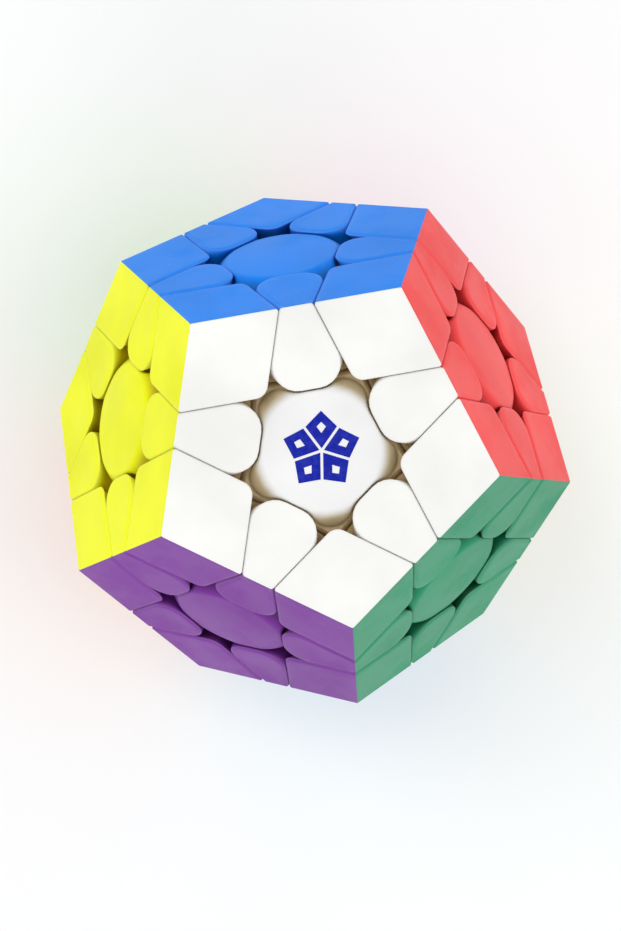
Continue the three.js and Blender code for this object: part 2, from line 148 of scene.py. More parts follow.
class Finish:
    # a new material, whose nodes are added by type
    def __init__(self, name):
        self.material = bpy.data.materials.new(name)
        self.material.use_nodes = True
        self.nodes = self.material.node_tree.nodes
        self.links = self.material.node_tree.links
        self.shader = self.nodes["Principled BSDF"]
        self.place = self.node("ShaderNodeTexCoord", {}, {}, "Object")

    def node(self, kind, settings, values, output=None):
        made = self.nodes.new(kind)
        for key, value in settings.items():
            setattr(made, key, value)
        for key, value in values.items():
            self.feed(made.inputs[key], value)
        shown = [socket for socket in made.outputs if socket.enabled]
        return Wire(self, made.outputs[output] if output else shown[0])

    def feed(self, socket, value):
        if isinstance(value, Wire):
            self.links.new(value.socket, socket)
        else:
            socket.default_value = value

    def noise(self, size, detail=2.0, roughness=0.5):
        # cloudy values, whose patches are about as large as the size in metres
        values = {"Vector": self.place, "Scale": 1 / size, "Detail": detail, "Roughness": roughness}
        return self.node("ShaderNodeTexNoise", {}, values, "Fac")

    def attribute(self, name):
        return self.node("ShaderNodeAttribute", {"attribute_name": name}, {}, "Fac")

    def mix(self, factor, a, b):
        mixer = self.node("ShaderNodeMix", {"data_type": "RGBA"}, {}).socket.node
        colours = [socket for socket in mixer.inputs if socket.type == "RGBA"]
        self.feed(mixer.inputs[0], factor)
        self.feed(colours[0], a)
        self.feed(colours[1], b)
        return Wire(self, [socket for socket in mixer.outputs if socket.type == "RGBA"][0])

    def set(self, **sockets):
        for key, value in sockets.items():
            self.feed(self.shader.inputs[key.replace("_", " ")], value)

    def bump(self, height, distance):
        values = {"Height": height, "Distance": distance, "Strength": 1.0}
        self.set(Normal=self.node("ShaderNodeBump", {}, values))


def shade(colour, factor, towards=(1.0, 1.0, 1.0)):
    # a colour moved part of the way to another, white unless it is given
    return tuple(c + (t - c) * factor for c, t in zip(colour, towards)) + (1.0,)


plastic = {
    "roughness": 0.32,       # of a clean moulded face
    "smudge": 0.14,          # how much rougher a handled patch is
    "smudgeSize": 0.011,
    "flow": 0.06,            # change of shade as the plastic flowed in its mould
    "flowSize": 0.018,
    "speckSize": 0.0012,
    "grain": 0.00035,        # size of the mould's fine texture
    "grainHeight": 0.0000045,
    "waveSize": 0.004,       # faint unevenness of a face
    "wearLight": 0.30,       # how far worn rims go towards a paler shade
    "gloss": 0.15,           # how much its surface mirrors
    "shadeTop": 0.35,        # millimetres below a face where the painted shade of its gaps starts
    "shadeLow": 1.75,        # and where it is full
    "shadePatchSize": 0.0016,      # patches in that painted shade
    "shadePale": (0.63, 0.50, 0.29),  # the painted gap shade on the palest tiles
    "shadeRest": (0.6, 0.6, 0.6),    # and on the rest
}
plasticColours = {
    "white": (0.845, 0.84, 0.81),
    "blue": (0.0, 0.215, 0.84),
    "red": (0.95, 0.060, 0.060),
    "green": (0.018, 0.285, 0.135),
    "purple": (0.205, 0.030, 0.33),
    "yellow": (0.90, 0.93, 0.0),
    "light_blue": (0.17, 0.52, 0.80),
    "cream": (0.86, 0.74, 0.37),
    "pink": (0.87, 0.29, 0.48),
    "lime": (0.25, 0.62, 0.045),
    "orange": (0.90, 0.23, 0.012),
    "grey": (0.30, 0.31, 0.32),
}


def gapShadeColour(colour):
    # painted shade: what a tile's colour turns to deep in a gap, where shade falls
    shadeScale = plastic["shadePale"] if min(colour[:2]) > 0.5 else plastic["shadeRest"]
    return tuple(c * t for c, t in zip(colour, shadeScale)) + (1.0,)


def mouldedPlastic(name, colour):
    # satin ABS: a slow change of shade, handled patches, fine mould grain, paler and rougher rims,
    # and painted shade that darkens it towards ochre down in the gaps, where shade falls
    finish = Finish(name)
    rim, depth = finish.attribute("rim"), finish.attribute("depth")
    flow = finish.noise(plastic["flowSize"], 3.0)
    smudge = finish.noise(plastic["smudgeSize"], 4.0, 0.6).smooth(0.42, 0.68)
    grain = finish.noise(plastic["grain"], 1.0)
    specks = finish.noise(plastic["speckSize"]).smooth(0.66, 0.78)
    # film: patches in the painted gap shade
    film = finish.noise(plastic["shadePatchSize"], 4.0, 0.6)
    wave = finish.noise(plastic["waveSize"], 1.0)
    worn = rim.smooth(0.80, 1.0) * (1.0 - rim.smooth(1.02, 1.3)) * (0.45 + 0.55 * smudge)
    # painted shade: the colour darkens and warms with depth down in the gaps
    paintedGapShade = (depth + (film - 0.5) * 0.4).smooth(plastic["shadeTop"], plastic["shadeLow"])
    deep = tuple(c * (1 - plastic["flow"]) for c in colour) + (1.0,)
    bright = tuple(c * (1 + plastic["flow"]) for c in colour) + (1.0,)
    base = finish.mix(flow.smooth(0.3, 0.7), deep, bright)
    base = finish.mix(specks * 0.10, base, shade(colour, 0.25))
    base = finish.mix(worn * plastic["wearLight"], base, shade(colour, 0.35))
    base = finish.mix(paintedGapShade, base, gapShadeColour(colour))
    roughness = plastic["roughness"] + smudge * plastic["smudge"] + worn * 0.12
    roughness = (roughness + (grain - 0.5) * 0.08).clamp(0.12, 0.8)
    finish.set(Base_Color=base, Roughness=roughness, IOR=1.53)
    finish.set(Specular_IOR_Level=plastic["gloss"])
    finish.set(Subsurface_Weight=0.06, Subsurface_Radius=(0.6, 0.5, 0.4), Subsurface_Scale=0.0012)
    finish.bump(grain + wave * 2.0 + specks * 0.6, plastic["grainHeight"])
    return finish.material


def innerPlastic(name, colour):
    # glass-filled inner plastic: duller, with swirls of flow and a light film of grease
    finish = Finish(name)
    swirl = finish.noise(0.006, 5.0, 0.62)
    grain = finish.noise(0.00025)
    grease = finish.noise(0.008, 3.0, 0.55).smooth(0.5, 0.62)
    dark, pale = shade(colour, 0.10, (0.35, 0.25, 0.12)), shade(colour, 0.05)
    base = finish.mix(swirl.smooth(0.3, 0.7), dark, pale)
    roughness = (0.52 - grease * 0.24 + (grain - 0.5) * 0.12).clamp(0.1, 0.9)
    finish.set(Base_Color=base, Roughness=roughness, IOR=1.54)
    finish.bump(grain + swirl * 1.5, 0.000008)
    return finish.material


def platedSteel(name, colour, dullness):
    # turned or drawn steel: fine tool marks and a few duller patches
    finish = Finish(name)
    patch = finish.noise(0.0015, 4.0, 0.6)
    marks = finish.noise(0.00012, 1.0)
    dull, clean = shade(colour, 0.25, (0.1, 0.09, 0.07)), shade(colour, 0.1)
    base = finish.mix(patch.smooth(0.35, 0.7), dull, clean)
    roughness = (dullness + (patch - 0.5) * 0.25 + (marks - 0.5) * 0.1).clamp(0.08, 0.8)
    finish.set(Base_Color=base, Roughness=roughness, Metallic=1.0)
    finish.bump(marks, 0.000004)
    return finish.material


def printedInk(name, colour):
    # pad-printed ink: a slightly uneven film, a little glossier than the plastic
    finish = Finish(name)
    film = finish.noise(0.0009, 3.0)
    thick, thin = shade(colour, 0.12, (0.0, 0.0, 0.0)), shade(colour, 0.012)
    base = finish.mix(film.smooth(0.35, 0.7), thick, thin)
    finish.set(Base_Color=base, Roughness=(0.26 + film * 0.12).clamp())
    finish.set(IOR=1.5, Specular_IOR_Level=0.2)
    finish.bump(film, 0.000004)
    return finish.material


tileFinish = {
    name: mouldedPlastic(f"moulded_{name}", colour) for name, colour in plasticColours.items()}
whiteCap = mouldedPlastic("moulded_white_cap", (0.80, 0.795, 0.79))  # a little greyer than the tiles
inner = innerPlastic("inner_plastic", (0.82, 0.63, 0.36))
screwSteel = platedSteel("screw_steel", (0.66, 0.67, 0.68), 0.28)
springSteel = platedSteel("spring_steel", (0.42, 0.43, 0.45), 0.34)
ink = printedInk("emblem_ink", (0.0, 0.010, 0.36))
print("materials ready")


def gridFaces(rings, around, closedRings=False):
    # quads between the rings of a grid whose rings each close on themselves
    ring = np.arange(rings if closedRings else rings - 1)[:, None]
    step = np.arange(around)[None, :]
    after = (step + 1) % around
    low, high = ring * around, (ring + 1) % rings * around
    quads = np.broadcast_arrays(low + step, low + after, high + after, high + step)
    return np.stack(quads, -1).reshape(-1, 4)


class Shell:
    # points, faces and a rim value per point; shells add up to one mesh
    def __init__(self, points, quads, triangles, rim=None):
        self.points = points
        self.quads = quads
        self.triangles = triangles
        self.rim = np.zeros(len(points)) if rim is None else rim

    def __add__(self, other):
        start = len(self.points)
        return Shell(
            np.concatenate([self.points, other.points]),
            np.concatenate([self.quads, other.quads + start]),
            np.concatenate([self.triangles, other.triangles + start]),
            np.concatenate([self.rim, other.rim]))


def closedLoft(rings, rim=None):
    # rings (r, n, 3) run from the first pole to the last; each pole is the mean of its end ring
    count, around = rings.shape[:2]
    poles = np.stack([rings[0].mean(0), rings[-1].mean(0)])
    points = np.concatenate([rings.reshape(-1, 3), poles])
    step = np.arange(around)
    after = (step + 1) % around
    first = np.stack([after, step, np.full(around, count * around)], -1)
    top = (count - 1) * around
    last = np.stack([top + step, top + after, np.full(around, count * around + 1)], -1)
    values = None
    if rim is not None:
        values = np.concatenate([np.repeat(rim, around), rim[[0, -1]]])
    return Shell(points, gridFaces(count, around), np.concatenate([first, last]), values)


def closedRing(rings):
    # rings (r, n, 3) whose last ring joins the first, as on a washer or a drilled hub
    count, around = rings.shape[:2]
    return Shell(rings.reshape(-1, 3), gridFaces(count, around, True), np.zeros((0, 3), int))


def aroundTurn(count):
    return np.arange(count) * (2 * math.pi / count)


def facing(direction, towards):
    # the turn that carries +Z to a direction, with +X as near as it can be to another
    z = direction / np.linalg.norm(direction)
    y = np.cross(z, towards)
    y = y / np.linalg.norm(y)
    return np.stack([np.cross(y, z), y, z], 1)


def addPiece(name, shell, finish, turn, body, nodes):
    points = shell.points @ turn.T + centre
    mesh = bpy.data.meshes.new(name)
    sizes = np.concatenate([np.full(len(shell.quads), 4), np.full(len(shell.triangles), 3)])
    corners = np.concatenate([shell.quads.ravel(), shell.triangles.ravel()])
    mesh.vertices.add(len(points))
    mesh.vertices.foreach_set("co", points.ravel())
    mesh.loops.add(len(corners))
    mesh.loops.foreach_set("vertex_index", corners)
    mesh.polygons.add(len(sizes))
    mesh.polygons.foreach_set("loop_start", np.concatenate([[0], np.cumsum(sizes)[:-1]]))
    mesh.attributes.new("rim", "FLOAT", "POINT").data.foreach_set("value", shell.rim)
    depth = 1000 * (inradius - shell.points[:, 2])  # millimetres below the face
    mesh.attributes.new("depth", "FLOAT", "POINT").data.foreach_set("value", depth)
    mesh.update(calc_edges=True)
    mesh.validate()
    mesh.shade_smooth()
    mesh.set_sharp_from_angle(angle=math.radians(38))
    mesh.materials.append(finish)
    piece = bpy.data.objects.new(name, mesh)
    bpy.context.scene.collection.objects.link(piece)
    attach(piece, body)
    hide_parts(*nodes)


def outsideBy(points, axis, grow):
    # is a point outside the room of a layer that is grown by a distance
    along = points @ axis
    distance = np.linalg.norm(points, axis=-1)
    across = np.sqrt(np.maximum(distance ** 2 - along ** 2, 0))
    flat = along > cutHeight - grow
    neck = across * math.cos(neckAngle) - along * math.sin(neckAngle) < grow
    foot = across * math.cos(footAngle) - along * math.sin(footAngle) < grow
    return ~(flat | neck | (foot & (distance < ledge + grow)))


def firstStop(isFree, widest, around):
    # for each azimuth, how far a ray stays free: coarse steps, then halving
    coarse, halvings = 80, 16
    steps = np.linspace(0, widest, coarse)
    free = isFree(np.broadcast_to(steps[:, None], (coarse, around)))
    free[0] = True
    index = np.where(free.all(0), coarse, np.argmin(free, 0))
    low = steps[index - 1]
    high = steps[np.minimum(index, coarse - 1)]
    for _ in range(halvings):
        middle = (low + high) / 2
        clear = isFree(middle[None])[0]
        low = np.where(clear, middle, low)
        high = np.where(clear, high, middle)
    return low


def staysIn(points, within, without, slack):
    free = np.ones(points.shape[:-1], bool)
    for axis in within:
        free &= ~outsideBy(points, axis, -half - slack)
    for axis in without:
        free &= outsideBy(points, axis, half + slack)
    return free


def lineOnFace(normal, distance, height, side):
    # where the plane normal . x = distance crosses the level z = height; side is +1 or -1
    # gives the unit normal into the tile and the line's distance along it
    length = math.hypot(normal[0], normal[1])
    return side * normal[:2] / length, side * (distance - normal[2] * height) / length


def roundedOutline(lines, radii, weights, perSide, perArc):
    # a convex outline between lines taken anticlockwise, its corners rounded by arcs
    # each corner: centre = meeting point + r (m1 + m2) / (1 + m1 . m2), arc from -m1 to -m2
    # returns points (n, 2) and for each the weight of the side it is on
    count = len(lines)
    arcs, arcWeights = [], []
    for i in range(count):
        (m1, e1), (m2, e2) = lines[i], lines[(i + 1) % count]
        meeting = np.linalg.solve(np.array([m1, m2]), np.array([e1, e2]))
        middle = meeting + radii[i] * (m1 + m2) / (1 + m1 @ m2)
        first = math.atan2(-m1[1], -m1[0])
        sweep = (math.atan2(-m2[1], -m2[0]) - first) % (2 * math.pi)
        angle = first + sweep * np.linspace(0, 1, perArc)
        arcs.append(middle + radii[i] * np.stack([np.cos(angle), np.sin(angle)], 1))
        blend = np.linspace(0, 1, perArc)
        arcWeights.append(weights[i] * (1 - blend) + weights[(i + 1) % count] * blend)
    points, values = [], []
    for i in range(count):
        points.append(arcs[i])
        values.append(arcWeights[i])
        share = np.linspace(0, 1, perSide + 2)[1:-1, None]
        points.append(arcs[i][-1] * (1 - share) + arcs[(i + 1) % count][0] * share)
        values.append(np.full(perSide, weights[(i + 1) % count]))
    return np.concatenate(points), np.concatenate(values)


tile = {
    "gap": 0.00018,          # between the coloured parts of two pieces
    "seam": 0.00003,         # half of the hairline between two colours of one piece
    "rimWidth": 0.00080,     # how far in from its cut sides a tile starts to fall
    "rimDrop": 0.00034,      # how far it has fallen at the cut
    "ridgeWeight": 0.22,     # the same at the crisp ridges, as a share
    "rimSteps": 7,
    "topRings": (0.2, 0.55, 0.85),
    "wallRings": (0.07, 0.2, 0.45, 0.7, 0.88),  # as shares of the layer's depth
    "floorRings": (0.97, 0.5),
    "wear": 0.004,           # the rim value rises by one over this depth
    "hollow": 0.00004,       # sink mark in the middle of a tile
    "perSide": 5,
    "perArc": 8,
    "edgeTip": 0.0036,       # rounding of an edge tile's inner corners
    "cornerTip": 0.0021,     # rounding of a corner tile's inner tip
    "ridgeCorner": 0.00035,
    "fade": 1.6,             # the roundings shrink as the outline does on its way down
    "smallest": 0.00004,     # radius that they keep
}


def tileShell(planes, radii, without=()):
    # planes: (normal, distance, side, weight, sink) of the tile's sides, anticlockwise
    # The surface is the outline carried down a profile. Near the rim it falls by a quarter of an
    # ellipse, weight * drop deep; below that the sides follow their planes, and stay out of the
    # rooms of the layers that the tile is not part of.
    weights = [plane[3] for plane in planes]
    width, drop = tile["rimWidth"], tile["rimDrop"]

    def pulledIn(ring):
        middle = ring.mean(0)

        def isFree(share):
            return staysIn(middle + share[..., None] * (ring - middle), [], without, 0.0)
        share = np.minimum(firstStop(isFree, 1.02, len(ring)), 1.0)
        return middle + share[:, None] * (ring - middle)

    def ringAt(inset, depth, roundOff):
        lines = []
        for normal, distance, side, weight, sink in planes:
            m, e = lineOnFace(normal, distance, inradius - depth, side)
            lines.append((m, e + sink + inset * weight))
        room = min(1.0, tile["fade"] * (1 - depth / puzzle["layerDepth"]))
        small = [max(r * room - inset * max(weights), tile["smallest"]) for r in radii]
        flat, weight = roundedOutline(lines, small, weights, tile["perSide"], tile["perArc"])
        height = inradius - depth - roundOff * weight
        return np.concatenate([flat, height[:, None]], 1)

    turn = np.linspace(0, math.pi / 2, tile["rimSteps"])
    rims = [ringAt(width * (1 - math.sin(t)), 0.0, drop * (1 - math.cos(t))) for t in turn]
    middle = rims[0].mean(0)
    tops = [middle + (rims[0] - middle) * share for share in tile["topRings"]]
    for ring, share in zip(tops, tile["topRings"]):
        ring[:, 2] = rims[0][:, 2] - tile["hollow"] * (1 - share * share)
    depths = puzzle["layerDepth"] * np.array(tile["wallRings"])
    walls = [ringAt(0.0, depth, drop) for depth in depths]
    for ring, depth in zip(walls, depths):
        ring[:, 2] = inradius - max(depth, drop)
    if without:
        walls = [pulledIn(ring) for ring in walls]
    middle = walls[-1].mean(0)
    floors = [middle + (walls[-1] - middle) * share for share in tile["floorRings"]]
    rings = np.array([*tops, *rims, *walls, *floors])
    rim = np.concatenate([
        0.7 * np.array(tile["topRings"]),
        np.linspace(0.75, 1.0, len(rims)),
        1.0 + depths / tile["wear"],
        np.full(len(floors), 5.0)])
    return closedLoft(rings[:, ::-1], rim)  # they run downwards, so round the other way


def ridgePlane(other):
    # the mitre between the white part and another that meet at a ridge: (white - other) . x >= 0
    normal = faces["white"] - other
    return normal / np.linalg.norm(normal)


def edgeTile():
    # as on the white face, with the ridge towards +X
    across, left, right = ringAxis(0), ringAxis(72), ringAxis(-72)
    space = tile["gap"] / 2
    planes = [
        (ridgePlane(across), 0.0, 1, tile["ridgeWeight"], tile["seam"]),
        (left, cutHeight - space, -1, 1.0, 0.0),
        (across, cutHeight + space, 1, 1.0, 0.0),
        (right, cutHeight - space, -1, 1.0, 0.0),
    ]
    radii = [tile["ridgeCorner"], tile["edgeTip"], tile["edgeTip"], tile["ridgeCorner"]]
    return tileShell(planes, radii, [left, right])


def cornerTile():
    # as on the white face, with the vertex towards +X
    left, right = ringAxis(36), ringAxis(-36)
    space = tile["gap"] / 2
    planes = [
        (ridgePlane(right), 0.0, 1, tile["ridgeWeight"], tile["seam"]),
        (ridgePlane(left), 0.0, 1, tile["ridgeWeight"], tile["seam"]),
        (right, cutHeight + space, 1, 1.0, 0.0),
        (left, cutHeight + space, 1, 1.0, 0.0),
    ]
    radii = [tile["ridgeCorner"], tile["ridgeCorner"], tile["cornerTip"], tile["ridgeCorner"]]
    return tileShell(planes, radii)


foot = {
    "around": 72,
    "widest": 0.62,          # angle that its rays are carried out to
    "slack": 0.00005,        # the necks stand this much inside the coloured parts
    "bevel": 0.00035,
    "bevelShares": (0.965, 0.99),  # of its width, where a bevel starts and half way
    "step": 0.00002,         # how flat its ledge is, and how far it clears other feet
    "footLevels": 5,
    "neckLevels": 12,
    "edgeNeck": 0.0015,      # how far the necks run on into the coloured parts
    "cornerNeck": 0.0012,
}


def carvedRing(direction, towards, distance, within, without):
    # on a sphere about the puzzle's middle: the widest angle, for each azimuth, that stays inside
    # the rooms of some faces and outside those of others
    azimuth = aroundTurn(foot["around"])
    frameTurn = facing(direction, towards).T

    def isFree(tilt):
        points = circled(np.sin(tilt), azimuth, np.cos(tilt))
        return staysIn(distance * points @ frameTurn, within, without, foot["slack"])

    return firstStop(isFree, foot["widest"], foot["around"])


def carvedFoot(direction, towards, within, without, top):
    # levels: distance from the puzzle's middle, the distance it is carved at, share of its width
    low, under = footBottom + half, ledge - half
    bevel, step = foot["bevel"], foot["step"]
    start, nearly = foot["bevelShares"]
    levels = [(low, low, 0.45), (low, low, 0.9), (low, low, start)]
    levels += [(low + bevel * 0.3, low, nearly), (low + bevel, low + bevel, 1.0)]
    body = np.linspace(low + bevel, under - bevel, foot["footLevels"])
    levels += [(r, r, 1.0) for r in body[1:]]
    levels += [(under - bevel * 0.3, under - bevel, nearly), (under, under - bevel, start)]
    # the neck; just over the ledge it still has to clear the feet of the layers it is not part of
    over = ledge + half + step
    levels += [(under, under + step, 1.0), (over, over - 1.5 * step, 1.0), (over, over, 1.0)]
    levels += [(r, r, 1.0) for r in np.linspace(over + bevel, top, foot["neckLevels"])]
    levels += [(top, top, 0.5)]
    rings = []
    for distance, carvedAt, share in levels:
        tilt = share * carvedRing(direction, towards, carvedAt, within, without)
        rings.append(distance * circled(np.sin(tilt), aroundTurn(foot["around"]), np.cos(tilt)))
    return closedLoft(np.array(rings))


whiteAxis, blueAxis, redAxis = faces["white"], faces["blue"], faces["red"]
edgeFoot = carvedFoot(
    whiteAxis + blueAxis, whiteAxis, [whiteAxis, blueAxis],
    [faces[name] for name in neighbours("white", "blue")], neckTop + foot["edgeNeck"])
cornerFoot = carvedFoot(
    whiteAxis + blueAxis + redAxis, whiteAxis, [whiteAxis, blueAxis, redAxis],
    [], neckTop + foot["cornerNeck"])
print("edge and corner pieces shaped")


def turned(profile, around=48, drilled=False):
    # a profile of (radius, height) pairs carried round the Z axis
    radius, height = np.array(profile).T[:, :, None]
    rings = circled(radius, aroundTurn(around), height)
    return closedRing(rings) if drilled else closedLoft(rings)


turningFaces = ("blue", "green", "grey")
nodeNames = set(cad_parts)


def layerOf(*names):
    # the body of an edge or corner piece, or of a hub
    moving = [name for name in names if name in turningFaces]
    return f"{moving[0]}_layer" if moving else "frame"


def nodeOf(*names):
    # the node of an edge or corner piece; some still edges belong to a corner's block
    kind = "edge" if len(names) == 2 else "corner"
    own = f"{kind}_{'_'.join(names)}"
    if own in nodeNames:
        return own
    for triple in triples:
        block = f"corner_block_{'_'.join(triple)}"
        if block in nodeNames and set(names) <= set(triple):
            return block
    raise KeyError(own)


def fittingOf(kind, name):
    # the node of a face's hub, screw or spring; those of still faces are one with the core
    return f"{kind}_{name}" if name in turningFaces else "core_with_fixed_hubs"


def addGroup(kind, names, tilePiece, footPiece):
    # the coloured parts and the foot of one edge or corner piece
    label = f"{kind}_{'_'.join(names)}"
    body, nodes = layerOf(*names), [nodeOf(*names)]
    for own in names:
        turn = facing(faces[own], sum(faces[name] for name in names if name != own))
        part, slot = f"{label}_{own}_part", f"plastic_{own}"
        addPiece(part, tilePiece, tileFinish[own], turn, body, nodes)
    turn = facing(sum(faces[name] for name in names), faces[names[0]])
    addPiece(f"{label}_foot", footPiece, inner, turn, body, nodes)


edgeTilePiece, cornerTilePiece = edgeTile(), cornerTile()
for names in pairs:
    addGroup("edge", names, edgeTilePiece, edgeFoot)
for names in triples:
    addGroup("corner", names, cornerTilePiece, cornerFoot)
print("edges and corners placed")


cap = {
    "below": 0.0001,         # middle of a cap below its face
    "fall": 0.00030,         # how far its dome has fallen at the flats
    "plateau": 0.0085,       # beyond this far from the axis it slopes down into its lobes
    "ease": 0.0010,          # fall = beyond^2 / (beyond + ease), a bend that soon runs straight
    "reach": 0.01145,        # its lobes end here, short of the corner pieces' tips
    "around": 240,
    "topRings": (0.12, 0.3, 0.5, 0.66, 0.74, 0.79, 0.83, 0.87, 0.91, 0.95, 0.98),
    "rimWidth": 0.0006,
    "rimDrop": 0.00025,
    "rimSteps": 9,
    "foot": 0.0004,          # its walls stand straight this far above their lower rim
    "soft": 0.0001,          # size of the edges there
    "overHub": 0.00012,
    "hollow": 0.0077,        # radius of the room under its dome
    "wall": 0.0012,
    "plugRadius": 0.006,
    "plugWall": 0.0009,
    "plugLength": 0.0021,
    "plugInto": 0.0003,      # how far the snap ring runs up into the dome
    "bead": 0.00014,         # how far the bead near its lower rim stands out
    "beadRise": 0.0003,
}
capFlat = (cutHeight - tile["gap"] / 2 - inradius * math.cos(spread)) / math.sin(spread)
capTop = inradius - cap["below"]
capCeiling = capTop - cap["fall"] - cap["wall"]
capTurns = aroundTurn(5)


def capDome(radius):
    # a shallow dome that falls with the square of the radius, and faster past the plateau
    beyond = np.maximum(radius - cap["plateau"], 0)
    dome = capTop - cap["fall"] * (radius / capFlat) ** 2
    return dome - beyond ** 2 / (beyond + cap["ease"])


def capReach(azimuth):
    # how far a cap reaches at each azimuth before it meets a neighbour's slanted cut, an edge's
    # straight side or rounded corner, or the circle round the corner pieces' tips
    clear = tile["gap"] / math.sin(spread)
    bend = tile["edgeTip"]
    along = capFlat + clear + bend  # middle of an edge's rounded corner
    across = (capFlat - bend - along * math.cos(capTurns[1])) / math.sin(capTurns[1])

    def isFree(radius):
        depth = inradius - capDome(radius)
        free = radius < cap["reach"]
        for turn in capTurns:
            out = radius * np.cos(azimuth - turn)
            aside = np.abs(radius * np.sin(azimuth - turn))
            free &= out < capFlat + depth / math.tan(spread)
            free &= (out < capFlat) | (aside > across)
            free &= np.hypot(out - along, aside - across) > bend + clear
        return free

    reach = firstStop(isFree, cap["reach"] * 1.1, len(azimuth))
    for _ in range(2):  # softens the lobes' corners
        reach = np.minimum(reach, np.mean([np.roll(reach, k) for k in range(-4, 5)], 0))
    return reach


def capShell():
    # a plateau whose five lobes slope down between the tiles: rings on the dome at shares of the
    # reach, a rounded rim, and a hollow underneath
    azimuth = aroundTurn(cap["around"])
    reach = capReach(azimuth)
    width, drop = cap["rimWidth"], cap["rimDrop"]
    profile = []
    for share in cap["topRings"]:
        radius = share * (reach - width)
        profile.append((radius, capDome(radius)))
    for t in np.linspace(0, math.pi / 2, cap["rimSteps"]):
        radius = reach - width * (1 - math.sin(t))
        profile.append((radius, capDome(radius) - drop * (1 - math.cos(t))))
    low, lowest = hubTop + cap["overHub"], profile[-1][1] - 0.00003
    soft, hollow = cap["soft"], cap["hollow"]
    profile += [(reach, np.minimum(low + cap["foot"], lowest)), (reach, low + 0.8 * soft)]
    profile += [(reach - 1.2 * soft, low), (hollow, low), (hollow - soft, low + 2 * soft)]
    profile += [(hollow - soft, capCeiling), (hollow * 0.8, capCeiling), (hollow * 0.3, capCeiling)]
    rings = np.array([circled(radius, azimuth, height) for radius, height in profile])
    rim = np.concatenate([
        0.7 * np.array(cap["topRings"]), np.linspace(0.7, 1.0, cap["rimSteps"]), np.full(8, 3.0)])
    return closedLoft(rings[:, ::-1], rim)


def capPlug():
    # the snap ring, with a small bead near its lower rim
    outer, bore = cap["plugRadius"], cap["plugRadius"] - cap["plugWall"]
    low, high = hubTop - cap["plugLength"], capCeiling + cap["plugInto"]
    rise, soft = cap["beadRise"], 2 * cap["soft"]
    return turned([
        (outer - 0.00025, low), (outer, low + rise), (outer + cap["bead"], low + 2 * rise),
        (outer, low + 3 * rise), (outer, high), (bore, high), (bore, low + soft),
        (bore + soft, low),
    ], 60, drilled=True)


hub = {
    "around": 120,
    "radius": 0.013,         # flange before the neighbouring layers cut into it
    "levels": 34,
    "lowShare": 0.96,        # of its flange's reach at the softened lower edge
    "highShare": 0.98,       # and at the upper one
    "edge": 0.0003,          # height of those edges
    "floor": 0.0022,
    "cup": 0.0043,
    "bore": 0.0018,
    "soft": 0.0002,          # edges of its mouth, cup and bore
}
floorTop = footBottom + hub["floor"]


def hubShell():
    # outside: at each height, out to the neighbours' rooms; inside: a mouth, a well and a bore
    azimuth = aroundTurn(hub["around"])
    whiteTurn = facing(whiteAxis, blueAxis)  # as it is placed, with +X towards a neighbour
    sides = [faces[name] @ whiteTurn for name in neighbours("white")]

    def flange(height, share=1.0):
        def isFree(radius):
            return staysIn(circled(radius, azimuth, height), [], sides, 0.0)
        radius = firstStop(isFree, hub["radius"], hub["around"])
        ease = np.mean([np.roll(radius, k) for k in (-1, 0, 1)], 0)  # softens the flange's tips
        return share * np.minimum(radius, ease), height

    edge, soft, bore, cup = hub["edge"], hub["soft"], hub["bore"], hub["cup"]
    profile = [flange(footBottom, hub["lowShare"]), flange(footBottom + edge)]
    profile += [flange(z) for z in np.linspace(footBottom + 0.0008, hubTop - edge, hub["levels"])]
    profile += [flange(hubTop, hub["highShare"])]
    mouth = cap["plugRadius"] + puzzle["gap"]
    step = hubTop - cap["plugLength"] - puzzle["gap"]
    profile += [(mouth + soft, hubTop), (mouth, hubTop - soft), (mouth, step)]
    profile += [(cup + soft, step), (cup, step - soft), (cup, floorTop)]
    profile += [(bore + soft, floorTop), (bore, floorTop - soft), (bore, footBottom)]
    return closedRing(np.array([circled(radius, azimuth, height) for radius, height in profile]))


screw = {
    "around": 64,
    "radius": 0.0015,
    "tip": 0.0006,           # radius of its lower end
    "reach": 0.009,          # thread inside the core's arm
    "pitch": 0.0008,
    "threadDepth": 0.00022,
    "threadRings": 84,
    "shank": 0.93,           # radius of the plain part, as a share of the thread's
    "plain": 0.0008,         # how far the plain part runs down into the arm
    "soft": 0.0001,          # size of its small edges
    "headRadius": 0.003,
    "headHeight": 0.0018,
    "headRound": 0.0006,
    "headBelow": 0.001,      # its top below the hub's
    "slotWidth": 0.0009,
    "slotLength": 0.0038,
    "slotDepth": 0.0010,
}
headTop = hubTop - screw["headBelow"]
headBottom = headTop - screw["headHeight"]


